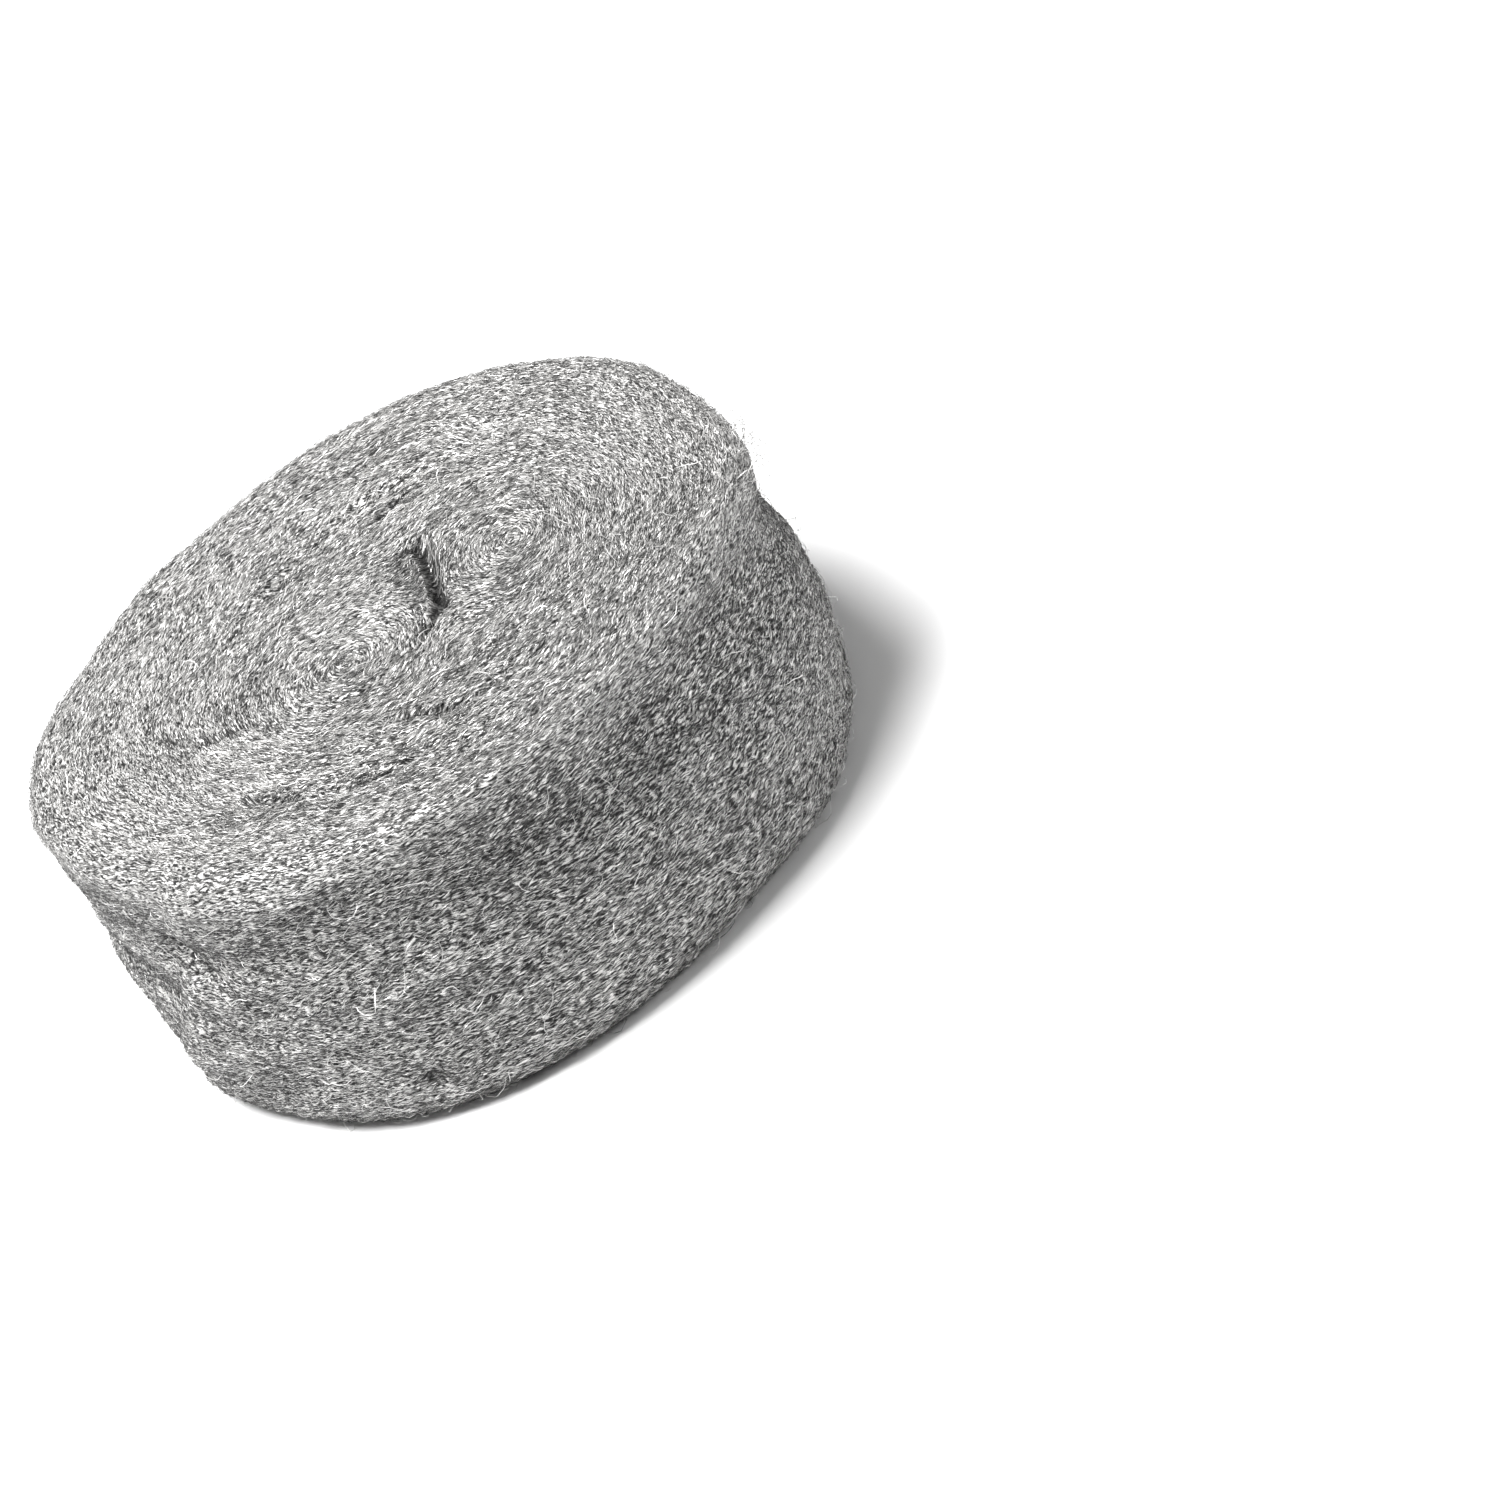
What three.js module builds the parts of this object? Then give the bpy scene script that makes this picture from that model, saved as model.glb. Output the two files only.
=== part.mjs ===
// A steel wool roll: one long ribbon of matted steel fibre, folded over at its
// start and wound on itself into a squat round roll that lies on its flat end.
// The wound turns press into each other, so the whole roll is one closed solid.
// Millimetres, +Z up along the winding axis, -Y is the front. Angles in the
// driving dimensions are in degrees from +X, and levels are fractions of the height.

import * as THREE from 'three';

// ---- Driving dimensions ----------------------------------------------------

const ROLL_DIAMETER = 119.4;
const ROLL_HEIGHT = 48;
const TURN_THICKNESS = 7.5;
const STEEL_GREY = 0x9b9a97;

// Rounded edges, as the inset and the rise of a quarter ellipse. The rim is
// pressed rounder over a soft shoulder at the front left, and along the back.
const RIM_INSET = 2.6;
const RIM_DROP = 2.8;
const SHOULDER_ANGLE = -128;
const SHOULDER_SPAN = 34;
const SHOULDER_INSET = 4;
const SHOULDER_DROP = 3;
const BACK_ANGLE = 110;
const BACK_SPAN = 62;
const BACK_INSET = 2.2;
const BACK_DROP = 1.6;
const FOOT_INSET = 5;
const FOOT_RISE = 5;

// Hand-wound wool is never quite round. Each swell of the outline is
// [middle angle, half span, height], in degrees and millimetres.
const RIM_SWELLS = [
  [58, 30, 2],
  [138, 13, -1.2],
  [10, 14, -0.8],
  [-20, 12, 2.2],
  [-82, 16, 0.8],
  [163, 12, 1.1],
];
const FOOT_SWELLS = [
  [-116, 26, 3.2],
  [-20, 20, -1.4],
  [-66, 16, -1.8],
  [172, 18, 1.6],
];

// The folded start of the ribbon leaves two lobes with a pinched crease between them.
const LEFT_LOBE = new THREE.Vector2(-7, -8);
const RIGHT_LOBE = new THREE.Vector2(24, -2);
const LOBE_BLEND = 5;
const CORE_CENTRE = new THREE.Vector2(8, -5);
const CREASE_TOP = new THREE.Vector2(10, 13);
const CREASE_BEND = new THREE.Vector2(9.6, -11);
const CREASE_TAIL = new THREE.Vector2(2.4, -15);
const CREASE_DEPTH = 6;
const CREASE_HALF_WIDTH = 2.2;

// Seams between the wound turns on the upper end face. The ribbon winds outward
// clockwise seen from above, and its loops go from the lobes' shape to the outline's.
const SEAM_DEPTH = 1.3;
const SEAM_SHARPNESS = 2.5;
const SEAM_MEAN_STRENGTH = 0.55;
const SEAM_DRIFT = 0.22;
const SEAM_DRIFT_PER_MM = 0.1;
const FIRST_SEAM = 7;
const LAST_SEAM_RATIO = 0.86;
const LOBED_UP_TO = 0.25;
const ROUND_FROM = 0.95;
const FACE_DISH = 1.6;

// The side wall: a hollow under the rim, deepest at the front right, a belly
// below it, and the torn free end of the ribbon, which laps over the turn below it.
const HOLLOW_DEPTH = 1.5;
const HOLLOW_LEVEL = 0.74;
const HOLLOW_SPAN = 0.14;
const HOLLOW_DEEPEST = -55;
const HOLLOW_UNEVENNESS = 0.5;
const BELLY_HEIGHT = 0.9;
const BELLY_LEVEL = 0.36;
const BELLY_SPAN = 0.2;
const LAP_THICKNESS = 1.6;
const LAP_ANGLE = -158;
const LAP_SLANT = 26;
const LAP_EDGE_SPAN = 7;

// The torn end is tucked in under a short fold high on the wall.
const TUCK_ANGLE = -146;
const TUCK_SPAN = 7;
const TUCK_LEVEL = 0.66;
const TUCK_LEVEL_SPAN = 0.07;
const TUCK_DEPTH = 1.8;

// Mesh density.
const SECTORS = 96;
const FACE_RINGS = 30;
const RIM_RINGS = 4;
const WALL_RINGS = 9;
const FOOT_RINGS = 4;

const FULL_TURN = 2 * Math.PI;

// ---- Outline and side wall -------------------------------------------------

function bell(distance, halfSpan) {
  const ratio = distance / halfSpan;
  return Math.exp(-ratio * ratio);
}

// How near an angle in radians is to one in degrees: 1 on it, 0 well away from it.
function angularBell(angle, middle, halfSpan) {
  const away = THREE.MathUtils.radToDeg(angle) - middle;
  const nearest = THREE.MathUtils.euclideanModulo(away + 180, 360) - 180;
  return bell(nearest, halfSpan);
}

function swellHeight(swells, angle) {
  let height = 0;
  for (const [middle, halfSpan, size] of swells) {
    height += size * angularBell(angle, middle, halfSpan);
  }
  return height;
}

// The outermost turn winds out by one lap and drops back past its torn end.
function lapOffset(angle, level) {
  const end = THREE.MathUtils.degToRad(LAP_ANGLE + LAP_SLANT * (level - 0.5));
  const turned = THREE.MathUtils.euclideanModulo(angle - end, FULL_TURN);
  const edge = THREE.MathUtils.degToRad(LAP_EDGE_SPAN);
  const rise = THREE.MathUtils.smoothstep(turned, 0, edge);
  return LAP_THICKNESS * (rise * (1 - turned / FULL_TURN) - 0.5);
}

function hollowDepth(angle, level) {
  const turned = angle - THREE.MathUtils.degToRad(HOLLOW_DEEPEST);
  const depth = HOLLOW_DEPTH * (1 + HOLLOW_UNEVENNESS * Math.cos(turned));
  return depth * bell(level - HOLLOW_LEVEL, HOLLOW_SPAN);
}

function tuckDepth(angle, level) {
  const across = bell(level - TUCK_LEVEL, TUCK_LEVEL_SPAN);
  return TUCK_DEPTH * across * angularBell(angle, TUCK_ANGLE, TUCK_SPAN);
}

// level runs from 0 at the foot to 1 at the top of the wall.
function wallRadius(angle, level) {
  const rimSwell = swellHeight(RIM_SWELLS, angle) * level;
  const footSwell = swellHeight(FOOT_SWELLS, angle) * (1 - level);
  const belly = BELLY_HEIGHT * bell(level - BELLY_LEVEL, BELLY_SPAN);
  const raised = rimSwell + footSwell + belly + lapOffset(angle, level);
  return ROLL_DIAMETER / 2 + raised - hollowDepth(angle, level) - tuckDepth(angle, level);
}

function wallPoint(angle, level, inset) {
  const radius = wallRadius(angle, level) - inset;
  return new THREE.Vector3(
    radius * Math.cos(angle),
    radius * Math.sin(angle),
    level * ROLL_HEIGHT,
  );
}

function rimSize(angle) {
  const shoulder = angularBell(angle, SHOULDER_ANGLE, SHOULDER_SPAN);
  const back = angularBell(angle, BACK_ANGLE, BACK_SPAN);
  return {
    inset: RIM_INSET + SHOULDER_INSET * shoulder + BACK_INSET * back,
    drop: RIM_DROP + SHOULDER_DROP * shoulder + BACK_DROP * back,
  };
}

// ---- Upper end face --------------------------------------------------------

// Distance in millimetres outward from the two lobes, even across the turns.
function turnDistance(point, ratio) {
  const left = point.distanceTo(LEFT_LOBE);
  const right = point.distanceTo(RIGHT_LOBE);
  const near = Math.exp(-left / LOBE_BLEND) + Math.exp(-right / LOBE_BLEND);
  const fromLobes = -LOBE_BLEND * Math.log(near);
  const fromOutline = ratio * ROLL_DIAMETER / 2;
  const outer = THREE.MathUtils.smoothstep(ratio, LOBED_UP_TO, ROUND_FROM);
  return THREE.MathUtils.lerp(fromLobes, fromOutline, outer);
}

// A seam shows over part of its turn and closes up where the fibres mat together.
function seamStrength(angle, distance) {
  const shift = distance * SEAM_DRIFT_PER_MM;
  const drift = Math.cos(angle + shift) + Math.cos(2 * angle - shift);
  return SEAM_MEAN_STRENGTH + SEAM_DRIFT * drift;
}

function seamDepth(point, angle, ratio) {
  const distance = turnDistance(point, ratio);
  const phase = distance / TURN_THICKNESS + angle / FULL_TURN;
  const groove = Math.pow(0.5 + 0.5 * Math.cos(FULL_TURN * phase), SEAM_SHARPNESS);
  const started = THREE.MathUtils.smoothstep(distance, FIRST_SEAM, FIRST_SEAM + TURN_THICKNESS);
  const ended = THREE.MathUtils.smoothstep(ratio, LAST_SEAM_RATIO, 1);
  return SEAM_DEPTH * groove * seamStrength(angle, distance) * started * (1 - ended);
}

function distanceToSegment(point, start, end) {
  const line = new THREE.Line3(
    new THREE.Vector3(start.x, start.y, 0),
    new THREE.Vector3(end.x, end.y, 0),
  );
  const flat = new THREE.Vector3(point.x, point.y, 0);
  const nearest = line.closestPointToPoint(flat, true, new THREE.Vector3());
  return nearest.distanceTo(flat);
}

function creaseDepth(point) {
  const upper = distanceToSegment(point, CREASE_TOP, CREASE_BEND);
  const lower = distanceToSegment(point, CREASE_BEND, CREASE_TAIL);
  return CREASE_DEPTH * bell(Math.min(upper, lower), CREASE_HALF_WIDTH);
}

// ratio runs from 0 at the core to 1 where the face meets the rounded rim.
function facePoint(angle, ratio) {
  const rim = wallPoint(angle, 1, rimSize(angle).inset);
  const flat = new THREE.Vector2(rim.x, rim.y).lerp(CORE_CENTRE, 1 - ratio);
  const dish = FACE_DISH * (1 - ratio * ratio);
  const depth = dish + seamDepth(flat, angle, ratio) + creaseDepth(flat);
  return new THREE.Vector3(flat.x, flat.y, ROLL_HEIGHT - depth);
}

// ---- The closed solid ------------------------------------------------------

function footRing(step) {
  const turn = (step / FOOT_RINGS) * (Math.PI / 2);
  const level = (FOOT_RISE * (1 - Math.cos(turn))) / ROLL_HEIGHT;
  const inset = FOOT_INSET * (1 - Math.sin(turn));
  return (angle) => wallPoint(angle, level, inset);
}

function wallRing(step) {
  return (angle) => {
    const low = FOOT_RISE / ROLL_HEIGHT;
    const high = 1 - rimSize(angle).drop / ROLL_HEIGHT;
    return wallPoint(angle, THREE.MathUtils.lerp(low, high, step / WALL_RINGS), 0);
  };
}

function rimRing(step) {
  const turn = (step / RIM_RINGS) * (Math.PI / 2);
  return (angle) => {
    const { inset, drop } = rimSize(angle);
    const level = 1 - (drop * (1 - Math.sin(turn))) / ROLL_HEIGHT;
    return wallPoint(angle, level, inset * (1 - Math.cos(turn)));
  };
}

function faceRing(step) {
  const ratio = 1 - step / FACE_RINGS;
  return (angle) => facePoint(angle, ratio);
}

function ringsFromFootToCore() {
  const rings = [];
  for (let step = 0; step <= FOOT_RINGS; step += 1) rings.push(footRing(step));
  for (let step = 1; step <= WALL_RINGS; step += 1) rings.push(wallRing(step));
  for (let step = 1; step <= RIM_RINGS; step += 1) rings.push(rimRing(step));
  for (let step = 1; step < FACE_RINGS; step += 1) rings.push(faceRing(step));
  return rings;
}

function rollGeometry() {
  const rings = ringsFromFootToCore();
  const positions = [];
  for (const ring of rings) {
    for (let sector = 0; sector < SECTORS; sector += 1) {
      const point = ring((sector / SECTORS) * FULL_TURN);
      positions.push(point.x, point.y, point.z);
    }
  }
  const footCentre = positions.length / 3;
  positions.push(0, 0, 0);
  const coreCentre = footCentre + 1;
  const core = facePoint(0, 0);
  positions.push(core.x, core.y, core.z);

  const faces = [];
  const lastRing = (rings.length - 1) * SECTORS;
  for (let sector = 0; sector < SECTORS; sector += 1) {
    const next = (sector + 1) % SECTORS;
    faces.push(footCentre, next, sector);
    faces.push(coreCentre, lastRing + sector, lastRing + next);
    for (let low = 0; low < lastRing; low += SECTORS) {
      const high = low + SECTORS;
      faces.push(low + sector, low + next, high + next);
      faces.push(low + sector, high + next, high + sector);
    }
  }
  const geometry = new THREE.BufferGeometry();
  geometry.setAttribute('position', new THREE.Float32BufferAttribute(positions, 3));
  geometry.setIndex(faces);
  standAtOrigin(geometry);
  geometry.computeVertexNormals();
  return geometry;
}

// Puts the middle of the roll's footprint at x = y = 0 and its foot at z = 0.
function standAtOrigin(geometry) {
  geometry.computeBoundingBox();
  const { min, max } = geometry.boundingBox;
  geometry.translate(-(min.x + max.x) / 2, -(min.y + max.y) / 2, -min.z);
}

// ---- Scene graph -----------------------------------------------------------

const steelWool = new THREE.MeshStandardMaterial({
  color: STEEL_GREY,
  roughness: 0.6,
  metalness: 0.85,
});

const woolRoll = new THREE.Mesh(rollGeometry(), steelWool);
woolRoll.name = 'wool_roll';

const group = new THREE.Group();
group.add(woolRoll);

export default group;
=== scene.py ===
"""A steel wool roll on a pale studio floor.

The roll lies on its flat end. Its body is a fine closed mesh with the CAD solid's own
form. Short steel fibres, each a small closed mesh, cover it and follow the wound turns.
The form is worked out in millimetres and degrees, and then placed in metres.
"""
import math

import bpy
import numpy as np
from mathutils import Matrix, Vector


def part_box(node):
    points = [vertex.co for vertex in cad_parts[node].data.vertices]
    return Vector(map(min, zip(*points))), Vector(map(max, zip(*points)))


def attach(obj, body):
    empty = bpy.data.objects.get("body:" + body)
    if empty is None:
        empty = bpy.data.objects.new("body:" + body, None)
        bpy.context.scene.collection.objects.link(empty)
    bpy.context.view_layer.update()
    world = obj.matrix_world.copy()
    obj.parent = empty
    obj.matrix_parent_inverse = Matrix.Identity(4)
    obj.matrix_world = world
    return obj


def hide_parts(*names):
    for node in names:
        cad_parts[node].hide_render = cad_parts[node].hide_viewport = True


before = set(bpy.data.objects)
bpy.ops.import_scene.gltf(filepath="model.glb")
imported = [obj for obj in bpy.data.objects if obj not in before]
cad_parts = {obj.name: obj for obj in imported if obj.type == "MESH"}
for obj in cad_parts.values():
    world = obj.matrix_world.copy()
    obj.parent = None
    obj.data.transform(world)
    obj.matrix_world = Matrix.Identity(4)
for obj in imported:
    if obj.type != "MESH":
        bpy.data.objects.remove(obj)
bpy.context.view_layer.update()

NODE = "wool_roll"
BAKE_MAP = "OFBake"
MM = 0.001
SEED = 4117

# ---- The form of the solid, in millimetres and degrees, as in part.mjs ------------

ROLL_DIAMETER = 119.4
ROLL_HEIGHT = 48.0
TURN_THICKNESS = 7.5
RIM_INSET, RIM_DROP = 2.6, 2.8
BACK_ANGLE, BACK_SPAN, BACK_INSET, BACK_DROP = 110.0, 62.0, 2.2, 1.6
SHOULDER_ANGLE, SHOULDER_SPAN = -128.0, 34.0
SHOULDER_INSET, SHOULDER_DROP = 4.0, 3.0
FOOT_INSET, FOOT_RISE = 5.0, 5.0
RIM_SWELLS = (
    (58, 30, 2),
    (138, 13, -1.2),
    (10, 14, -0.8),
    (-20, 12, 2.2),
    (-82, 16, 0.8),
    (163, 12, 1.1),
)
FOOT_SWELLS = ((-116, 26, 3.2), (-20, 20, -1.4), (-66, 16, -1.8), (172, 18, 1.6))
LEFT_LOBE = np.array((-7.0, -8.0))
RIGHT_LOBE = np.array((24.0, -2.0))
LOBE_BLEND = 5.0
CORE_CENTRE = np.array((8.0, -5.0))
LOBED_UP_TO, ROUND_FROM = 0.25, 0.95
FACE_DISH = 1.6
HOLLOW_DEPTH, HOLLOW_LEVEL, HOLLOW_SPAN = 1.5, 0.74, 0.14
HOLLOW_DEEPEST, HOLLOW_UNEVENNESS = -55.0, 0.5
BELLY_HEIGHT, BELLY_LEVEL, BELLY_SPAN = 0.9, 0.36, 0.2
LAP_THICKNESS, LAP_ANGLE, LAP_SLANT, LAP_EDGE_SPAN = 1.6, -158.0, 26.0, 7.0
TUCK_ANGLE, TUCK_SPAN, TUCK_LEVEL, TUCK_LEVEL_SPAN = -146.0, 7.0, 0.66, 0.07
TUCK_DEPTH = 1.8

# ---- Fine relief of the body, in millimetres and degrees -----------------------------

# The body keeps this far inside the CAD solid's skin, which leaves room for the fibres.
FIBRE_COVER = 0.5
PLEAT_DEPTH, LUMP_HEIGHT = 0.5, 0.4
SEAM_DEPTH, SEAM_SHARPNESS = 0.9, 9
TURN_SWAY, TURN_SWAY_LENGTH = 2.2, 19.0
SAG_ANGLE, SAG_SPAN, SAG_DEPTH = 108.0, 28.0, 0.8
SAG_FROM, SAG_FULL = 25.0, 45.0
# How far the ribbon's torn end strays, in radians, and how often up the roll.
TEAR_SWAY, TEAR_COUNT = 0.02, 14.0
# Dents in the wall: angle, height, half spans in degrees and millimetres, depth. A
# depth below nought is a bulge.
DENTS = (
    (180.0, 25.0, 20.0, 3.0, 2.8),
    (-157.0, 13.0, 11.0, 7.0, -1.1),
    (-152.5, 35.2, 2.8, 1.3, 1.0),
    (-148.5, 33.6, 2.4, 1.7, 1.4),
    (-145.0, 31.2, 2.4, 1.3, 1.2),
    (-117.0, 8.5, 2.2, 2.4, 1.4),
    (-128.0, 17.0, 9.0, 1.6, 0.6),
    (-47.0, 39.0, 10.0, 3.2, 0.9),
    (-66.0, 38.0, 8.0, 3.0, 0.8),
    (-47.0, 23.0, 9.0, 3.0, 0.7),
)
# Folds in the upper face: half width and depth, then the half width and strength of the
# painted shade in it, and the line that it follows.
FOLDS = (
    (1.5, 2.6, 1.4, 0.68, ((11.5, 13.0), (10.8, 3.5), (8.8, -7.4))),
    (1.1, 2.4, 0.6, 1.0, ((8.8, -7.4), (2.7, -13.1))),
    (1.0, 2.0, 0.9, 0.95, ((10.2, -2.5), (8.9, -7.0))),
    (3.2, 1.0, 2.4, 0.4, ((9.0, 12.0), (7.4, -4.0))),
    (0.8, 1.4, 0.6, 0.6, ((9.3, 26.5), (13.0, 28.0))),
    (1.3, 1.2, 1.0, 0.4, ((-10.5, 25.0), (-9.5, 25.6))),
    (0.7, 1.4, 0.5, 0.6, ((-24.0, -6.6), (-31.0, -5.0))),
    (0.8, 1.2, 0.5, 0.5, ((-37.0, 7.0), (-34.0, -0.5))),
    (0.7, 1.7, 0.35, 1.0, ((-29.0, -27.5), (-22.5, -35.0), (-15.5, -40.0), (-8.0, -43.5))),
    (0.7, 1.7, 0.35, 1.0, ((-8.0, -43.5), (-1.5, -44.0), (5.5, -43.0), (11.0, -43.0))),
    (0.7, 1.7, 0.35, 1.0, ((-7.0, -29.0), (2.6, -37.0), (11.0, -37.6), (18.0, -35.5))),
)

# ---- The body's mesh and grain ---------------------------------------------------------

BODY_SECTORS = 360
FACE_RINGS, WALL_RINGS, FOOT_RINGS = 92, 40, 6
# The innermost rings of the face and the foot, where 1 is the outermost.
FACE_INNERMOST, FOOT_INNERMOST = 0.004, 0.02
# The body's flat foot stands this far above the floor, on the fibres under it.
FOOT_GAP = 0.45
# Cells of the grain's noise to a millimetre: in plan twice, then across the ribbon.
GRAIN_PITCH = (0.9, 0.9, 3.8)
# Bake maps. The body's has a disc each for the face and the foot, and a wall strip. A
# fibre's place across its own map says how bright it is.
MAP_EDGE, STRIP_HEIGHT, DISC_REACH, DISC_LEVEL = 0.02, 0.4, 0.235, 0.72
SHADE_START, SHADE_SPAN, FIBRE_MAP_WIDTH = 0.01, 0.97, 0.008

# ---- Fibres, in millimetres ------------------------------------------------------------

FACE_FIBRES, WALL_FIBRES, FOOT_FIBRES = 30000, 25000, 4000
LOOSE_FIBRES, FUZZ_FIBRES = 400, 1300
# arch: lowest and highest start, rise, and dip of the ends. wander: spread, curl, kink.
FACE_STYLE = {
    "length": (1.1, 3.0),
    "half_width": (0.042, 0.07),
    "arch": (0.0, 0.25, 0.2, 0.2),
    "wander": (0.14, 0.0, 0.18),
}
WALL_STYLE = {
    "length": (1.1, 3.2),
    "half_width": (0.042, 0.07),
    "arch": (0.0, 0.3, 0.25, 0.2),
    "wander": (0.14, 0.0, 0.18),
}
FOOT_STYLE = {
    "length": (2.0, 5.0),
    "half_width": (0.075, 0.14),
    "wander": (0.3, 0.2, 0.16),
}
FUZZ_STYLE = {
    "length": (1.5, 4.0),
    "half_width": (0.028, 0.045),
    "arch": (0.35, 0.9, 1.1, 0.3),
    "wander": (0.7, 0.3, 0.4),
}
LOOSE_STYLE = {
    "length": (4.0, 9.0),
    "half_width": (0.04, 0.07),
    "arch": (0.2, 0.6, 2.0, 0.7),
    "wander": (0.6, 0.25, 0.3),
}
# How far a fibre twists at most, in radians, and how plump its ends are.
FIBRE_TWIST, END_PLUMPNESS = 1.6, 0.12
LOCK_SWAY, LOCK_LENGTH = 0.4, 5.0
EVEN_JITTER, SHADE_JITTER = 1.0, 0.6
FACE_PATCHES, WALL_PATCHES = 6, 7
# Fibres on the wall start this far up the skin, and none lies lower than the second.
LOWEST_RUN, LOWEST_FIBRE = 0.4, 0.12
# How far out on the face fibres start and may go, where 1 is the rim.
FACE_START_REACH, FACE_REACH = 0.999, 0.998
FOOT_REACH, FOOT_LOWEST, FOOT_HIGHEST, FOOT_DIP = 0.99, 0.14, 0.4, 0.5
TUFT_FIBRES, TUFT_ANGLE, TUFT_SPREAD, TUFT_HEIGHT = 36, -15.0, 2.5, 3.4
TUFT_LOWEST, TUFT_HIGHEST = 0.9, 0.98

# ---- How bright the fibres are, from 0 to 1 --------------------------------------------

# Greys of the bright fibres, then of the dark ones, which are painted shade for the gaps between
# fibres. A fibre with a grey below DARK_BELOW counts as dark.
BRIGHT_SHADES, DARK_SHADES = (0.62, 1.0), (0.0, 0.2)
DARK_BELOW = 0.4
# The share of dark fibres, which are painted shade for the gaps between fibres, and how far
# streaks, thin lines, a painted light gradient across the face and the wall's bands of
# painted shade and painted bounce light change it.
FACE_DARK_SHARE, WALL_DARK_SHARE, LOOSE_DARK_SHARE = 0.38, 0.61, 0.2
STREAK_SHARE = 0.16
LINE_SHARE, LINE_WIDTH = 0.22, 0.08
PAINTED_LIGHT_TILT_SHARE = -0.1
PAINTED_BAND_SHARE, BAND_ANGLE = 0.16, -40.0
# Bands: height and half span of the painted shade under the rim, then of the painted bounce
# light near the foot.
PAINTED_SHADE_BAND, PAINTED_BOUNCE_BAND = (36.0, 9.0), (10.0, 8.0)
RIM_SHADE, RIM_CONTRAST = 0.52, 0.62
DARK_THINNESS, DARK_LIFT = 0.85, 0.1
# Painted shade in folds and dents: the factor on a shaded fibre's grey, then how likely a fibre
# in a fold, and one in a dent, is to get it.
PAINTED_SHADE_FACTOR, FOLD_PAINTED_SHADE_CHANCE, DENT_PAINTED_SHADE_CHANCE = 0.12, 1.15, 0.8
# A dent paints shade on the fibres in it from the first depth on, and fully at the second.
DENT_SHADE_FROM, DENT_SHADE_FULL = 0.3, 1.2

# ---- Studio, in metres -----------------------------------------------------------------

FLOOR_HALF = 6.0
# Name, place, size and power of each lamp.
LAMPS = (
    ("key", (-0.4, 0.0, 1.38), 0.85, 49.0),
    ("side", (1.0, -0.35, 0.55), 0.4, 4.0),
)
WORLD_STRENGTH = 0.17
VIEW_ELEVATION, VIEW_ROLL = 29.5, 33.0
VIEW_DISTANCE = 0.72
SENSOR_WIDTH = 36.0
# In frame widths: the focal length, and how far the roll's middle is from the frame's.
FOCAL_IN_FRAMES = 3.173
TARGET_RIGHT, TARGET_UP = -0.2039, 0.0137

# ---- Curves and noise ------------------------------------------------------------------

# Odd factors that scramble the whole numbers of a lattice corner.
CORNER_FACTORS = (374761393, 668265263, 2246822519)
SEED_FACTOR, MIX_FACTORS = 3266489917, ((15, 2654435761), (13, 1274126177))
HALF_RANGE = 2147483648.0


def smoothstep(value, low, high):
    part = np.clip((value - low) / (high - low), 0.0, 1.0)
    return part * part * (3.0 - 2.0 * part)


def bell(distance, half_span):
    return np.exp(-((distance / half_span) ** 2))


def angular_bell(angle, middle, half_span):
    away = (np.degrees(angle) - middle + 180.0) % 360.0 - 180.0
    return bell(away, half_span)


def corner_value(corner, seed):
    """A fixed random number from -1 to 1 for each corner of a whole-number lattice."""
    mixed = np.uint32((seed * SEED_FACTOR) % 2**32)
    for whole, factor in zip(corner, CORNER_FACTORS):
        mixed = whole.astype(np.uint32) * np.uint32(factor) + mixed
    for shift, factor in MIX_FACTORS:
        mixed = (mixed ^ (mixed >> np.uint32(shift))) * np.uint32(factor)
    mixed = mixed ^ (mixed >> np.uint32(16))
    return mixed.astype(np.float64) / HALF_RANGE - 1.0


def noise(x, y, z, seed):
    """Smooth noise from -1 to 1 with a wavelength of about one unit."""
    x, y, z = np.broadcast_arrays(x, y, z)
    floor = [np.floor(c) for c in (x, y, z)]
    part = [c - f for c, f in zip((x, y, z), floor)]
    ease = [p * p * (3.0 - 2.0 * p) for p in part]
    base = [f.astype(np.int64) for f in floor]
    total = np.zeros(x.shape)
    for dx in (0, 1):
        for dy in (0, 1):
            for dz in (0, 1):
                weight = (
                    (ease[0] if dx else 1.0 - ease[0])
                    * (ease[1] if dy else 1.0 - ease[1])
                    * (ease[2] if dz else 1.0 - ease[2])
                )
                corner = (base[0] + dx, base[1] + dy, base[2] + dz)
                total += weight * corner_value(corner, seed)
    return total


# ---- Side wall -----------------------------------------------------------------------

FOOT_ARC = FOOT_RISE * math.pi / 2
RIM_ARC = RIM_DROP * math.pi / 2
WALL_RUN = ROLL_HEIGHT - FOOT_RISE - RIM_DROP
SKIN_RUN = FOOT_ARC + WALL_RUN + RIM_ARC


def swell_height(swells, angle):
    return sum(size * angular_bell(angle, middle, span) for middle, span, size in swells)


def lap_turned(angle, level):
    """How far an angle lies past the ribbon's torn end, from 0 to a full turn."""
    end = np.radians(LAP_ANGLE + LAP_SLANT * (level - 0.5))
    ragged = TEAR_SWAY * noise(level * TEAR_COUNT, 0.0, 0.0, SEED + 1)
    return (angle - end - ragged) % (2 * math.pi)


def lap_offset(angle, level):
    turned = lap_turned(angle, level)
    rise = smoothstep(turned, 0.0, math.radians(LAP_EDGE_SPAN))
    return LAP_THICKNESS * (rise * (1.0 - turned / (2 * math.pi)) - 0.5)


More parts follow.
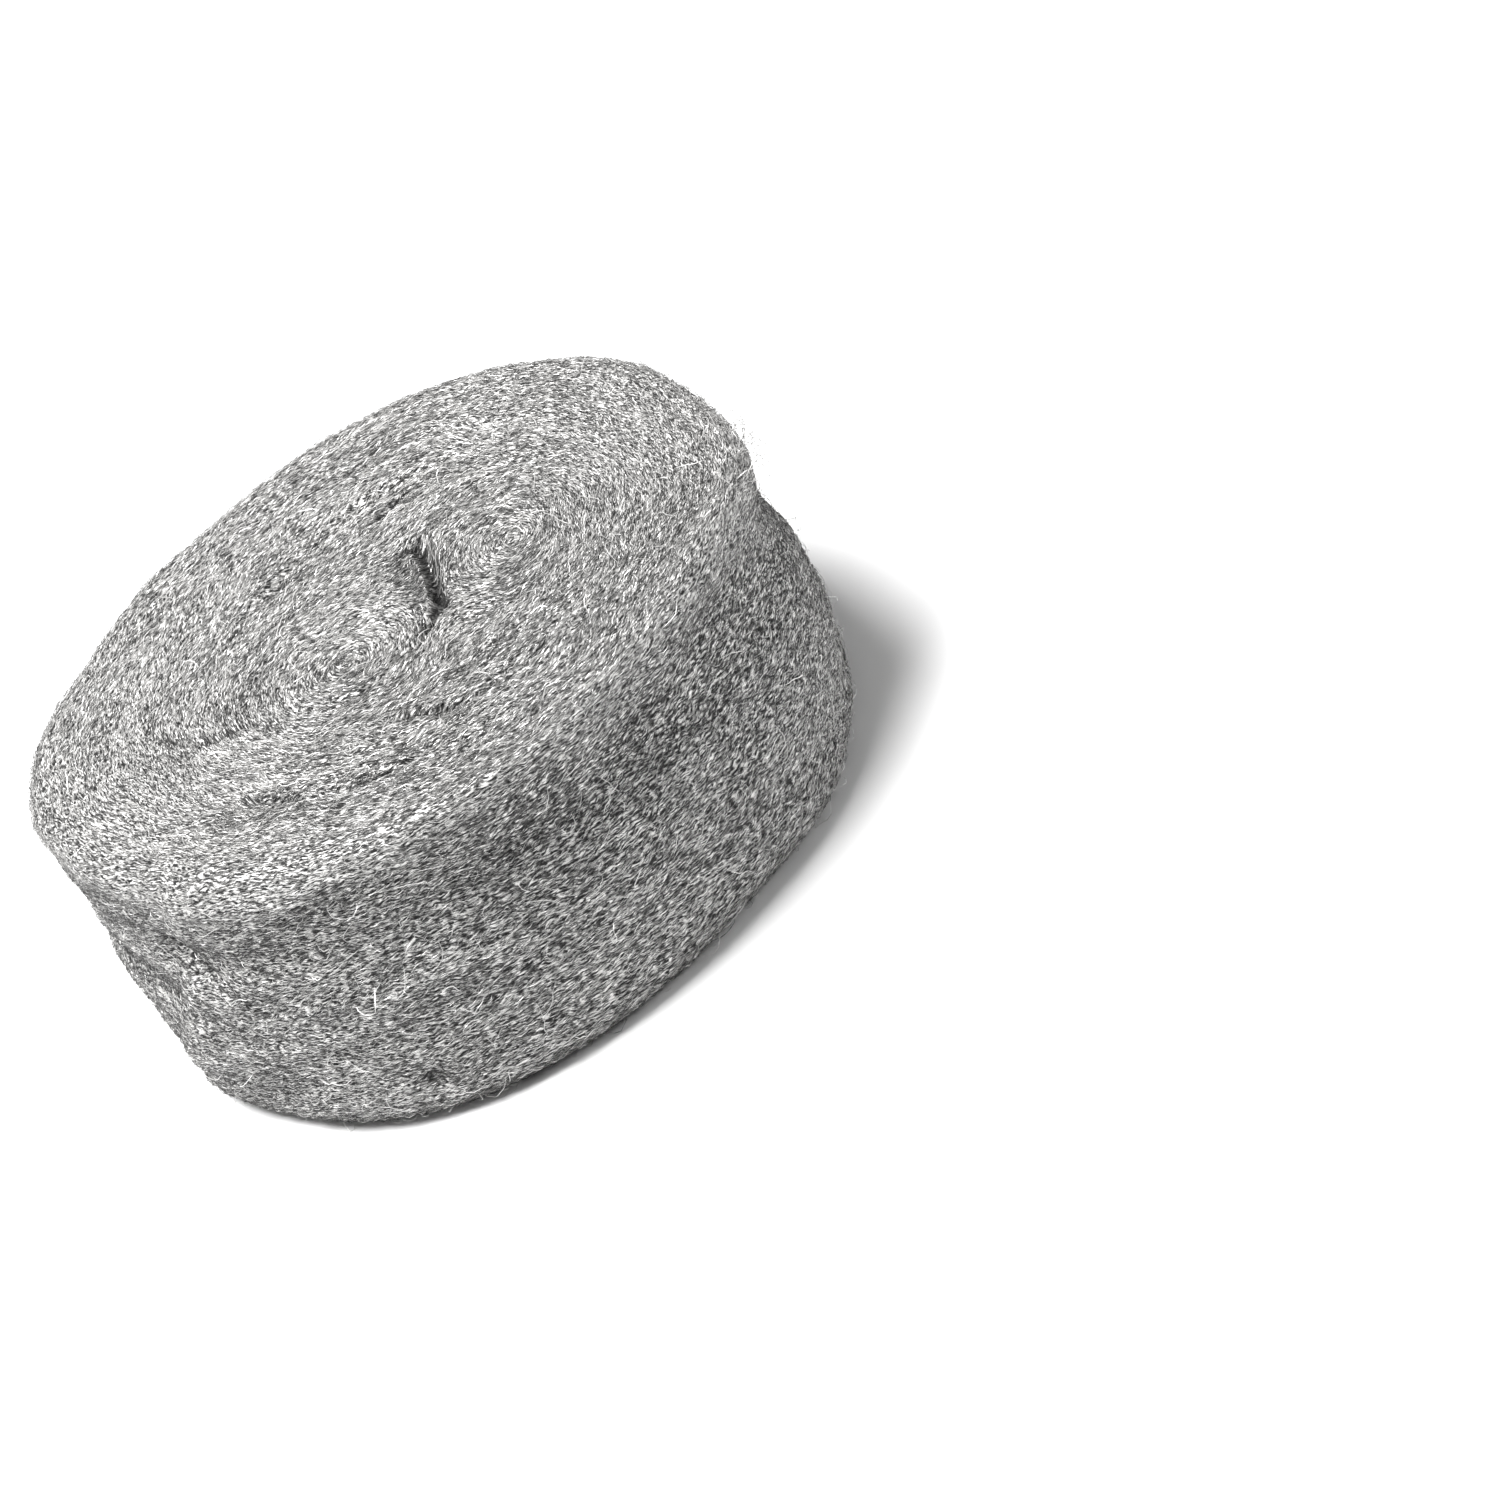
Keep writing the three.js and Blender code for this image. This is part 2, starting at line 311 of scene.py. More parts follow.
def wall_radius(angle, level):
    rim = swell_height(RIM_SWELLS, angle) * level
    foot = swell_height(FOOT_SWELLS, angle) * (1.0 - level)
    belly = BELLY_HEIGHT * bell(level - BELLY_LEVEL, BELLY_SPAN)
    turned = angle - math.radians(HOLLOW_DEEPEST)
    hollow = HOLLOW_DEPTH * (1.0 + HOLLOW_UNEVENNESS * np.cos(turned))
    hollow = hollow * bell(level - HOLLOW_LEVEL, HOLLOW_SPAN)
    tuck = TUCK_DEPTH * bell(level - TUCK_LEVEL, TUCK_LEVEL_SPAN)
    tuck = tuck * angular_bell(angle, TUCK_ANGLE, TUCK_SPAN)
    raised = rim + foot + belly + lap_offset(angle, level)
    return ROLL_DIAMETER / 2 + raised - hollow - tuck


def rim_size(angle):
    shoulder = angular_bell(angle, SHOULDER_ANGLE, SHOULDER_SPAN)
    back = angular_bell(angle, BACK_ANGLE, BACK_SPAN)
    inset = RIM_INSET + SHOULDER_INSET * shoulder + BACK_INSET * back
    drop = RIM_DROP + SHOULDER_DROP * shoulder + BACK_DROP * back
    return inset, drop


def rim_arc(angle):
    """Real length of the rim's rounding, which the run counts as RIM_ARC."""
    inset, drop = rim_size(angle)
    return (inset + drop) / 2 * math.pi / 2


def skin_below_face(angle, run):
    """Real length of skin between a place and the face."""
    in_rim = min(SKIN_RUN - run, RIM_ARC)
    return SKIN_RUN - run - in_rim + in_rim / RIM_ARC * rim_arc(angle)


def skin_level(angle, run):
    """Level and inset of a place on the skin, run mm up from the flat foot."""
    inset_max, drop = rim_size(angle)
    foot_turn = np.clip(run / FOOT_ARC, 0.0, 1.0) * math.pi / 2
    rim_turn = np.clip((run - FOOT_ARC - WALL_RUN) / RIM_ARC, 0.0, 1.0) * math.pi / 2
    up_wall = np.clip((run - FOOT_ARC) / WALL_RUN, 0.0, 1.0)
    low = FOOT_RISE / ROLL_HEIGHT
    high = 1.0 - drop / ROLL_HEIGHT
    level = low + (high - low) * up_wall
    level = np.where(run < FOOT_ARC, low * (1.0 - np.cos(foot_turn)), level)
    in_rim = run > FOOT_ARC + WALL_RUN
    level = np.where(in_rim, 1.0 - (1.0 - high) * (1.0 - np.sin(rim_turn)), level)
    inset = FOOT_INSET * (1.0 - np.sin(foot_turn))
    inset = np.where(in_rim, inset_max * (1.0 - np.cos(rim_turn)), inset)
    return level, inset


def dent_depth(angle, run):
    """How deep a place on the skin lies in a dent, or below nought on a bulge."""
    height = run - FOOT_ARC + FOOT_RISE
    depth = 0.0
    for middle, level, turn_span, level_span, deepest in DENTS:
        across = bell(height - level, level_span)
        depth = depth + deepest * angular_bell(angle, middle, turn_span) * across
    return depth


def skin_relief(angle, run):
    """Lumps and long drawn-out pleats of the wall, which run along the ribbon."""
    x, y = np.cos(angle), np.sin(angle)
    lumps = noise(x * 4.2, y * 4.2, run / 15.0, SEED + 2)
    pleats = noise(x * 7.0, y * 7.0, run / 1.9 + 2.0 * x, SEED + 3)
    long_pleats = noise(x * 3.0, y * 3.0, run / 4.2 + 3.0 * y, SEED + 4)
    relief = LUMP_HEIGHT * lumps + PLEAT_DEPTH * (0.6 * pleats + 0.8 * long_pleats)
    sag = SAG_DEPTH * angular_bell(angle, SAG_ANGLE, SAG_SPAN)
    sag = sag * smoothstep(run, SAG_FROM, SAG_FULL)
    return relief - sag - dent_depth(angle, run)


def skin_point(angle, run, lift=0.0):
    """A place on the body's wall, or lift millimetres out from it."""
    level, inset = skin_level(angle, run)
    edge = smoothstep(run, 0.0, FOOT_ARC)
    lift = lift + edge * skin_relief(angle, run) - FIBRE_COVER
    radius = wall_radius(angle, level) - inset
    slope = np.clip((run - FOOT_ARC - WALL_RUN) / RIM_ARC, 0.0, 1.0) * math.pi / 2
    foot_slope = (1.0 - np.clip(run / FOOT_ARC, 0.0, 1.0)) * math.pi / 2
    out = np.cos(slope) * np.cos(foot_slope)
    rise = np.sin(slope) - np.sin(foot_slope)
    radius = radius + lift * out
    height = level * ROLL_HEIGHT + lift * rise
    return np.stack((radius * np.cos(angle), radius * np.sin(angle), height), axis=-1)


# ---- Upper end face --------------------------------------------------------------------

TABLE_ANGLES = np.linspace(-math.pi, math.pi, 2881)


def rim_line(angle):
    """Where the rounded rim meets the end face, in plan."""
    inset, _ = rim_size(angle)
    radius = wall_radius(angle, np.ones_like(angle)) - inset
    return radius * np.cos(angle), radius * np.sin(angle)


def bearing_table():
    x, y = rim_line(TABLE_ANGLES)
    bearing = np.unwrap(np.arctan2(y - CORE_CENTRE[1], x - CORE_CENTRE[0]))
    reach = np.hypot(x - CORE_CENTRE[0], y - CORE_CENTRE[1])
    wrap = 2 * math.pi
    bearings = np.concatenate((bearing - wrap, bearing, bearing + wrap))
    angles = np.concatenate((TABLE_ANGLES - wrap, TABLE_ANGLES, TABLE_ANGLES + wrap))
    return bearings, angles, np.tile(reach, 3)


BEARINGS, ANGLES, REACHES = bearing_table()


def face_place(x, y):
    """The rim angle beyond a place on the face, and how far out to the rim it is, 0 to 1."""
    bearing = np.arctan2(y - CORE_CENTRE[1], x - CORE_CENTRE[0])
    angle = np.interp(bearing, BEARINGS, ANGLES)
    reach = np.interp(bearing, BEARINGS, REACHES)
    ratio = np.hypot(x - CORE_CENTRE[0], y - CORE_CENTRE[1]) / reach
    return angle, ratio


def turn_distance(x, y):
    """Distance outward from the two lobes, even across the turns."""
    _, ratio = face_place(x, y)
    left = np.hypot(x - LEFT_LOBE[0], y - LEFT_LOBE[1])
    right = np.hypot(x - RIGHT_LOBE[0], y - RIGHT_LOBE[1])
    near = np.exp(-left / LOBE_BLEND) + np.exp(-right / LOBE_BLEND)
    from_lobes = -LOBE_BLEND * np.log(near)
    from_outline = ratio * ROLL_DIAMETER / 2
    outer = smoothstep(ratio, LOBED_UP_TO, ROUND_FROM)
    distance = from_lobes + (from_outline - from_lobes) * outer
    sway = noise(x / TURN_SWAY_LENGTH, y / TURN_SWAY_LENGTH, 0.0, SEED + 5)
    return distance + TURN_SWAY * sway * (1.0 - smoothstep(ratio, 0.7, 1.0))


def segment_distance(x, y, start, end):
    start = np.array(start)
    run = np.array(end) - start
    part = np.clip(((x - start[0]) * run[0] + (y - start[1]) * run[1]) / (run @ run), 0, 1)
    return np.hypot(x - start[0] - part * run[0], y - start[1] - part * run[1])


def folds_at(x, y):
    """How deep a place lies in a fold, and how much painted shade it gets there, from 0 to 1."""
    depth, dark = np.zeros_like(x), np.zeros_like(x)
    for half_width, deepest, dark_width, darkest, line in FOLDS:
        near = np.full_like(x, 1e3)
        for start, end in zip(line[:-1], line[1:]):
            near = np.minimum(near, segment_distance(x, y, start, end))
        depth = np.maximum(depth, deepest * bell(near, half_width))
        dark = np.maximum(dark, darkest * bell(near, dark_width))
    return depth, dark


def seam_groove(x, y):
    """How deep in a seam between two turns a place is, from 0 to 1."""
    angle, ratio = face_place(x, y)
    distance = turn_distance(x, y)
    phase = distance / TURN_THICKNESS + angle / (2 * math.pi)
    narrow = (0.5 + 0.5 * np.cos(2 * math.pi * phase)) ** SEAM_SHARPNESS
    shows = noise(x / 16.0, y / 16.0, distance / 9.0, SEED + 6)
    strength = smoothstep(shows, -0.35, 0.55)
    return narrow * strength * (1.0 - smoothstep(ratio, 0.86, 1.0))


def face_relief(x, y):
    angle, ratio = face_place(x, y)
    distance = turn_distance(x, y)
    fade = 1.0 - smoothstep(ratio, 0.9, 1.0)
    pleats = noise(x / 14.0, y / 14.0, distance / 2.1, SEED + 7)
    ridges = noise(x / 22.0, y / 22.0, distance / 4.8, SEED + 8)
    lumps = noise(x / 15.0, y / 15.0, 0.5, SEED + 9)
    relief = PLEAT_DEPTH * (0.7 * pleats + ridges) + LUMP_HEIGHT * lumps
    relief = fade * (relief - SEAM_DEPTH * seam_groove(x, y))
    return relief + (1.0 - fade) * skin_relief(angle, np.full_like(angle, SKIN_RUN))


def face_height(x, y):
    _, ratio = face_place(x, y)
    dish = FACE_DISH * (1.0 - np.minimum(ratio, 1.0) ** 2)
    depth, _ = folds_at(x, y)
    return ROLL_HEIGHT - FIBRE_COVER - dish - depth + face_relief(x, y)


def face_point(x, y, lift=0.0):
    return np.stack((x, y, face_height(x, y) + lift), axis=-1)


# ---- Meshes ------------------------------------------------------------------------------

def roll_shift():
    """From the formulas' own origin to the CAD solid's place, by its box."""
    angle = np.linspace(-math.pi, math.pi, 1441)
    corners = []
    for run in np.linspace(0.0, SKIN_RUN, 61):
        level, inset = skin_level(angle, np.full_like(angle, run))
        radius = wall_radius(angle, level) - inset
        corners.append(np.column_stack((radius * np.cos(angle), radius * np.sin(angle))))
    corners = np.concatenate(corners)
    raw_middle = (corners.min(axis=0) + corners.max(axis=0)) / 2
    low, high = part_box(NODE)
    cad_middle = np.array([(low[0] + high[0]) / 2, (low[1] + high[1]) / 2]) / MM
    return np.append(cad_middle - raw_middle, low[2] / MM)


SHIFT = roll_shift()


def placed(points):
    """Millimetres about the formulas' origin to metres in the CAD frame."""
    return (points + SHIFT) * MM


def new_mesh(name, points, triangles, smooth=True):
    mesh = bpy.data.meshes.new(name)
    mesh.vertices.add(len(points))
    mesh.vertices.foreach_set("co", np.ascontiguousarray(points, dtype=np.float32).ravel())
    mesh.loops.add(triangles.size)
    mesh.loops.foreach_set("vertex_index", triangles.astype(np.int32).ravel())
    mesh.polygons.add(len(triangles))
    mesh.polygons.foreach_set("loop_start", np.arange(0, triangles.size, 3, dtype=np.int32))
    mesh.polygons.foreach_set("use_smooth", np.full(len(triangles), smooth))
    mesh.update(calc_edges=True)
    return mesh


def add_piece(name, mesh, material):
    piece = bpy.data.objects.new(name, mesh)
    bpy.context.scene.collection.objects.link(piece)
    mesh.materials.append(material)
    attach(piece, "root")
    return piece


def set_map(mesh, corners):
    layer = mesh.uv_layers.new(name=BAKE_MAP, do_init=False)
    layer.data.foreach_set("uv", np.ascontiguousarray(corners, dtype=np.float32).ravel())


# ---- Body ----------------------------------------------------------------------------------

def ring_triangles(lower, upper):
    """Two triangles between each pair of neighbours on two closed rings of indices."""
    lower_next, upper_next = np.roll(lower, -1), np.roll(upper, -1)
    first = np.stack((lower, lower_next, upper_next), axis=1)
    second = np.stack((lower, upper_next, upper), axis=1)
    return np.concatenate((first, second))


def body_rings():
    """Closed rings from the middle of the foot, up the wall, to the middle of the face.

    Each has a number that grows across the ribbon, for the grain, and a map place.
    """
    angle = np.linspace(-math.pi, math.pi, BODY_SECTORS, endpoint=False)
    rings, grain, maps = [], [], []
    foot_edge = skin_point(angle, np.zeros_like(angle))
    for ratio in np.linspace(FOOT_INNERMOST, 1.0, FOOT_RINGS, endpoint=False):
        ring = foot_edge * ratio
        ring[:, 2] = FOOT_GAP
        rings.append(ring)
        grain.append(ratio * ROLL_DIAMETER / 2)
        maps.append(("foot", ratio))
    for run in np.linspace(0.0, SKIN_RUN, WALL_RINGS, endpoint=False):
        ring = skin_point(angle, np.full_like(angle, run))
        ring[:, 2] = np.maximum(ring[:, 2], FOOT_GAP)
        rings.append(ring)
        grain.append(ROLL_DIAMETER / 2 + skin_below_face(angle, run))
        maps.append(("wall", run / SKIN_RUN))
    x_rim, y_rim = rim_line(angle)
    for ratio in np.linspace(1.0, FACE_INNERMOST, FACE_RINGS):
        x = CORE_CENTRE[0] + ratio * (x_rim - CORE_CENTRE[0])
        y = CORE_CENTRE[1] + ratio * (y_rim - CORE_CENTRE[1])
        rings.append(face_point(x, y))
        grain.append(turn_distance(x, y))
        maps.append(("face", ratio))
    return angle, rings, grain, maps


def body_map_point(kind, angle, amount):
    """Bake map: the face and foot as two discs, the wall as a strip beneath them."""
    if kind == "wall":
        across = MAP_EDGE + (1.0 - 2 * MAP_EDGE) * (angle / (2 * math.pi) + 0.5)
        return across, MAP_EDGE + STRIP_HEIGHT * amount
    middle = 0.25 if kind == "face" else 0.75
    reach = DISC_REACH * amount
    return middle + reach * np.cos(angle), DISC_LEVEL + reach * np.sin(angle)


def map_band(kind, angle, low, high):
    """Map corners of the triangles between two rings, in ring_triangles' order."""
    turn = np.append(angle, math.pi)
    lower = np.stack(np.broadcast_arrays(*body_map_point(kind, turn, low)), axis=1)
    upper = np.stack(np.broadcast_arrays(*body_map_point(kind, turn, high)), axis=1)
    first = np.stack((lower[:-1], lower[1:], upper[1:]), axis=1)
    second = np.stack((lower[:-1], upper[1:], upper[:-1]), axis=1)
    return np.concatenate((first, second))


def body_faces(angle, maps):
    """Triangles of the body and their map corners, from its foot to its face."""
    count = BODY_SECTORS
    sector = np.arange(count)
    starts = 1 + count * np.arange(len(maps))
    foot = starts[0] + sector
    triangles = [np.stack((np.zeros(count, int), np.roll(foot, -1), foot), axis=1)]
    corners = [map_band("foot", angle, 0.0, maps[0][1])[count:]]
    for number in range(len(maps) - 1):
        kind, low = maps[number]
        next_kind, high = maps[number + 1]
        if next_kind != kind:
            high = 1.0
        triangles.append(ring_triangles(starts[number] + sector, starts[number + 1] + sector))
        corners.append(map_band(kind, angle, low, high))
    top = starts[-1] + sector
    last = starts[-1] + count
    triangles.append(np.stack((top, np.roll(top, -1), np.full(count, last)), axis=1))
    corners.append(map_band("face", angle, maps[-1][1], 0.0)[:count])
    return np.concatenate(triangles), np.concatenate(corners)


def add_grain(mesh, points, grain):
    """A vector for each point: its plan, then how far across the ribbon it is."""
    across = np.concatenate([np.broadcast_to(value, BODY_SECTORS) for value in grain])
    across = np.concatenate(([0.0], across, [0.0]))
    vectors = np.column_stack((points[:, 0], points[:, 1], across)).astype(np.float32)
    layer = mesh.attributes.new("grain", "FLOAT_VECTOR", "POINT")
    layer.data.foreach_set("vector", vectors.ravel())


def add_painted_fold_light(mesh, points):
    """A number for each point, 1 in the open and less in the folds of the face, which paints
    shade into the body's colour there.
    """
    in_face = points[:, 2] > ROLL_HEIGHT / 2
    _, dark = folds_at(points[:, 0], points[:, 1])
    painted_fold_light = np.where(in_face, 1.0 - dark, 1.0)
    layer = mesh.attributes.new("painted_fold_light", "FLOAT", "POINT")
    layer.data.foreach_set("value", painted_fold_light.astype(np.float32))


def build_body(material):
    angle, rings, grain, maps = body_rings()
    foot_middle = np.array([[0.0, 0.0, FOOT_GAP]])
    core = face_point(CORE_CENTRE[:1], CORE_CENTRE[1:])
    points = np.concatenate([foot_middle] + rings + [core])
    triangles, corners = body_faces(angle, maps)
    mesh = new_mesh("wool_body", placed(points), triangles)
    set_map(mesh, corners)
    add_grain(mesh, points, grain)
    add_painted_fold_light(mesh, points)
    return add_piece("wool_body", mesh, material)


# ---- Fibres ----------------------------------------------------------------------------------

def fibre_triangles(rings):
    """Triangles of one closed fibre with a three-sided section and pointed ends."""
    faces = []
    for side in range(3):
        after = (side + 1) % 3
        faces.append((0, 2 + after, 2 + side))
        for ring in range(rings - 1):
            a, b = 2 + 3 * ring + side, 2 + 3 * ring + after
            faces.append((a, b, b + 3))
            faces.append((a, b + 3, a + 3))
        end = 2 + 3 * (rings - 1)
        faces.append((1, end + side, end + after))
    return np.array(faces)


def unit(vectors):
    return vectors / (np.linalg.norm(vectors, axis=2, keepdims=True) + 1e-9)


def fibre_points(rng, paths, normals, half_width):
    """Points of each fibre: its two ends, then three round each place between them."""
    count, places, _ = paths.shape
    ahead = unit(np.gradient(paths, axis=1))
    side = unit(np.cross(normals, ahead))
    up = np.cross(ahead, side)
    along = np.linspace(0.0, 1.0, places)
    twist = rng.uniform(0, 2 * math.pi, count)[:, None]
    twist = twist + rng.uniform(-FIBRE_TWIST, FIBRE_TWIST, count)[:, None] * along[None, :]
    plump = END_PLUMPNESS + (1.0 - 2 * END_PLUMPNESS) * along
    plump = np.sin(math.pi * plump) ** 0.5
    points = np.zeros((count, 2 + 3 * (places - 2), 3))
    points[:, 0] = paths[:, 0]
    points[:, 1] = paths[:, -1]
    for corner in range(3):
        turn = twist[:, 1:-1] + corner * 2 * math.pi / 3
        reach = (half_width[:, None] * plump[None, 1:-1])[:, :, None]
        away = np.cos(turn)[:, :, None] * side[:, 1:-1] + np.sin(turn)[:, :, None] * up[:, 1:-1]
        points[:, 2 + corner::3] = paths[:, 1:-1] + reach * away
    return points


def fibre_corners(shade, places, pattern):
    """Map corners: a fibre's shade puts it across the map, its length runs up the map."""
    rings = places - 2
    across = np.concatenate(((0.5, 0.5), np.tile((0.0, 0.5, 1.0), rings)))
    along = np.linspace(0.0, 1.0, places)[1:-1]
    upward = np.concatenate(((0.0, 1.0), np.repeat(along, 3)))
    across = shade[:, None] * SHADE_SPAN + SHADE_START + FIBRE_MAP_WIDTH * across[None, :]
    upward = MAP_EDGE + (1.0 - 2 * MAP_EDGE) * upward[None, :]
    upward = np.broadcast_to(upward, across.shape)
    corners = np.stack((across[:, pattern], upward[:, pattern]), axis=-1)
    return corners.reshape(-1, 2)


def build_fibres(name, rng, paths, normals, half_width, shade, material):
    """One mesh of many fibres. paths and normals are fibre by place by xyz."""
    count, places, _ = paths.shape
    points = fibre_points(rng, paths, normals, half_width)
    pattern = fibre_triangles(places - 2)
    triangles = pattern[None] + (np.arange(count) * points.shape[1])[:, None, None]
    mesh = new_mesh(name, placed(points.reshape(-1, 3)), triangles.reshape(-1, 3), False)
    set_map(mesh, fibre_corners(shade, places, pattern))
    return add_piece(name, mesh, material)


def lock_heading(x, y, z):
    """Neighbouring fibres lean the same way, in locks a few millimetres long."""
    return LOCK_SWAY * noise(x / LOCK_LENGTH, y / LOCK_LENGTH, z / LOCK_LENGTH, SEED + 14)


def wander(rng, count, places, spread, curl, kink):
    """Heading of each step of each fibre, measured from the way the ribbon runs."""
    start = rng.normal(0.0, spread, count)[:, None]
    bend = rng.normal(0.0, curl, count)[:, None]
    steps = np.arange(places - 1)[None, :] - (places - 2) / 2
    return start + bend * steps + rng.normal(0.0, kink, (count, places - 1))


def arch(rng, count, places, low, high, rise, dip):
    """Height of a fibre above the body: it arches up and its ends go back in."""
    along = np.linspace(0.0, 1.0, places)[None, :]
    base = rng.uniform(low, high, count)[:, None]
    bow = (rng.random(count) ** 2)[:, None] * rise
    ends = np.abs(2 * along - 1) ** 3
    return base + bow * np.sin(math.pi * along) - dip * ends


def even_spread(rng, count, dimensions, patches):
    """Evenly spread random places from 0 to 1, with no clusters or bare patches.

    They fill so many patches, one after the other, along the first dimension.
    """
    root = 2.0
    for _ in range(30):
        root = (1.0 + root) ** (1.0 / (dimensions + 1))
    steps = root ** -np.arange(1.0, dimensions + 1.0)
    start = rng.random(dimensions)
    jitter = rng.uniform(-0.5, 0.5, (count, dimensions)) * (EVEN_JITTER / math.sqrt(count))
    jitter[:, 2:] = rng.uniform(-0.5, 0.5, (count, dimensions - 2)) * SHADE_JITTER
    at = (start + steps * np.arange(1, count + 1)[:, None] + jitter) % 1.0
    at[:, 0] = (at[:, 0] + np.arange(count) * patches // count) / patches
    return at


def spread_angle(at):
    return (at[:, 0] - 0.5) * 2 * math.pi


def spread_run(at):
    return LOWEST_RUN + at[:, 1] * (SKIN_RUN - LOWEST_RUN)


def face_paths(rng, at, places, length, spread, curl, kink, lift):
    """Fibres along the wound turns of the face, and which way is out for each place."""
    count = len(at)
    angle = spread_angle(at)
    ratio = np.sqrt(at[:, 1]) * FACE_START_REACH
    x_rim, y_rim = rim_line(angle)
    x = CORE_CENTRE[0] + ratio * (x_rim - CORE_CENTRE[0])
    y = CORE_CENTRE[1] + ratio * (y_rim - CORE_CENTRE[1])
    heading = wander(rng, count, places, spread, curl, kink)
    flip = rng.integers(0, 2, count) * 2 - 1
    step = length / (places - 1)
    xs, ys = [x], [y]
    probe = 0.4
    for number in range(places - 1):
        dx = turn_distance(x + probe, y) - turn_distance(x - probe, y)
        dy = turn_distance(x, y + probe) - turn_distance(x, y - probe)
        tangent = np.arctan2(dx * flip, -dy * flip) + heading[:, number]
        tangent = tangent + lock_heading(x, y, 0.0 * x)
        x = x + step * np.cos(tangent)
        y = y + step * np.sin(tangent)
        _, ratio = face_place(x, y)
        pull = np.minimum(1.0, FACE_REACH / np.maximum(ratio, 1e-6))
        x = CORE_CENTRE[0] + pull * (x - CORE_CENTRE[0])
        y = CORE_CENTRE[1] + pull * (y - CORE_CENTRE[1])
        xs.append(x)
        ys.append(y)
    x, y = np.stack(xs, axis=1), np.stack(ys, axis=1)
    paths = face_point(x, y, lift)
    normals = np.zeros_like(paths)
    normals[:, :, 2] = 1.0
    return paths, normals


def rim_stretch(angle, run):
    """How many millimetres of skin there are to one of run, more than 1 in the rim."""
    in_rim = smoothstep(run, FOOT_ARC + WALL_RUN - 1.0, FOOT_ARC + WALL_RUN + 0.5)
    return 1.0 + (rim_arc(angle) / RIM_ARC - 1.0) * in_rim


def wall_paths(rng, at, places, length, spread, curl, kink, lift):
    """Fibres along the ribbon on the wall, and which way is out for each place."""
    count = len(at)
    angle, run = spread_angle(at), spread_run(at)
    heading = wander(rng, count, places, spread, curl, kink)
    flip = rng.integers(0, 2, count) * 2 - 1
    step = length / (places - 1)
    radius = ROLL_DIAMETER / 2
    angles, runs = [angle], [run]
    for number in range(places - 1):
        x, y = radius * np.cos(angle), radius * np.sin(angle)
        course = heading[:, number] + flip * lock_heading(x, y, run)
        angle = angle + flip * step * np.cos(course) / radius
        climb = step * np.sin(course) / rim_stretch(angle, run)
        run = np.clip(run + climb, LOWEST_RUN, SKIN_RUN)
        angles.append(angle)
        runs.append(run)
    angle, run = np.stack(angles, axis=1), np.stack(runs, axis=1)
    paths = skin_point(angle, run, lift)
    normals = unit(skin_point(angle, run, lift + 0.5) - paths)
    paths[:, :, 2] = np.maximum(paths[:, :, 2], LOWEST_FIBRE)
    return paths, normals


def foot_paths(rng, count, places, length, spread, curl, kink):
    """Fibres round the flat foot, whose ends go up into the body."""
    angle = rng.uniform(-math.pi, math.pi, count)
    edge = skin_point(angle, np.zeros_like(angle))
    reach = np.hypot(edge[:, 0], edge[:, 1]) * np.sqrt(rng.random(count)) * FOOT_REACH
    heading = wander(rng, count, places, spread, curl, kink)
    step = length / (places - 1)
    x, y = reach * np.cos(angle), reach * np.sin(angle)
    xs, ys = [x], [y]
    for number in range(places - 1):
        tangent = np.arctan2(y, x) + math.pi / 2 + heading[:, number]
        x = x + step * np.cos(tangent)
        y = y + step * np.sin(tangent)
        xs.append(x)
        ys.append(y)
    x, y = np.stack(xs, axis=1), np.stack(ys, axis=1)
    along = np.linspace(0.0, 1.0, places)[None, :]
    height = rng.uniform(FOOT_LOWEST, FOOT_HIGHEST, count)[:, None]
    height = height + FOOT_DIP * np.abs(2 * along - 1) ** 3
    paths = np.stack((x, y, np.broadcast_to(height, x.shape)), axis=-1)
    normals = np.zeros_like(paths)
    normals[:, :, 2] = -1.0
    return paths, normals


def fibre_shades(rng, pick, dark_share):
    """Most fibres are bright; the rest are dark, painted shade for the gaps seen between them.
    """
    bright = rng.uniform(*BRIGHT_SHADES, len(pick))
    dark = rng.uniform(*DARK_SHADES, len(pick))
    return np.where(pick < dark_share, dark, bright)


def raise_dark(paths, normals, shade):
    """Dark fibres are painted shade for the gaps in the wool, so they lie on top and stay seen.
    """
    return paths + DARK_LIFT * normals * (shade < DARK_BELOW)[:, None, None]


def fibre_widths(rng, shade, limits):
    """Half widths. Dark fibres, painted shade for the gaps, are thinner, like the gaps
    themselves.
    """
    width = rng.uniform(*limits, len(shade))
    return np.where(shade < DARK_BELOW, DARK_THINNESS * width, width)


def face_streaks(x, y):
    """Light and dark streaks along the turns, from -1 to 1."""
    distance = turn_distance(x, y)
    fine = noise(x / 16.0, y / 16.0, distance / 1.5, SEED + 10)
    broad = noise(x / 26.0, y / 26.0, distance / 3.6, SEED + 11)
    return 0.6 * fine + 0.7 * broad


def face_lines(x, y):
    """Thin dark lines along the turns, from 0 to 1."""
    return bell(noise(x / 18.0, y / 18.0, turn_distance(x, y) / 2.6, SEED + 15), LINE_WIDTH)


def wall_streaks(angle, run):
    """Light and dark streaks along the ribbon, from -1 to 1."""
    x, y = np.cos(angle), np.sin(angle)
    fine = noise(x * 2.6, y * 2.6, run / 1.6, SEED + 12)
    broad = noise(x * 1.6, y * 1.6, run / 5.0 + x, SEED + 13)
    return 0.5 * fine + 0.7 * broad


def painted_wall_light_bands(angle, run):
    """The wall has painted shade under the rim and painted bounce light near the foot, mostly on
    one side.
    """
    sided = 0.5 + 0.5 * np.cos(angle - math.radians(BAND_ANGLE))
    dark_run, dark_span = PAINTED_SHADE_BAND
    light_run, light_span = PAINTED_BOUNCE_BAND
    return sided * (bell(run - dark_run, dark_span) - bell(run - light_run, light_span))


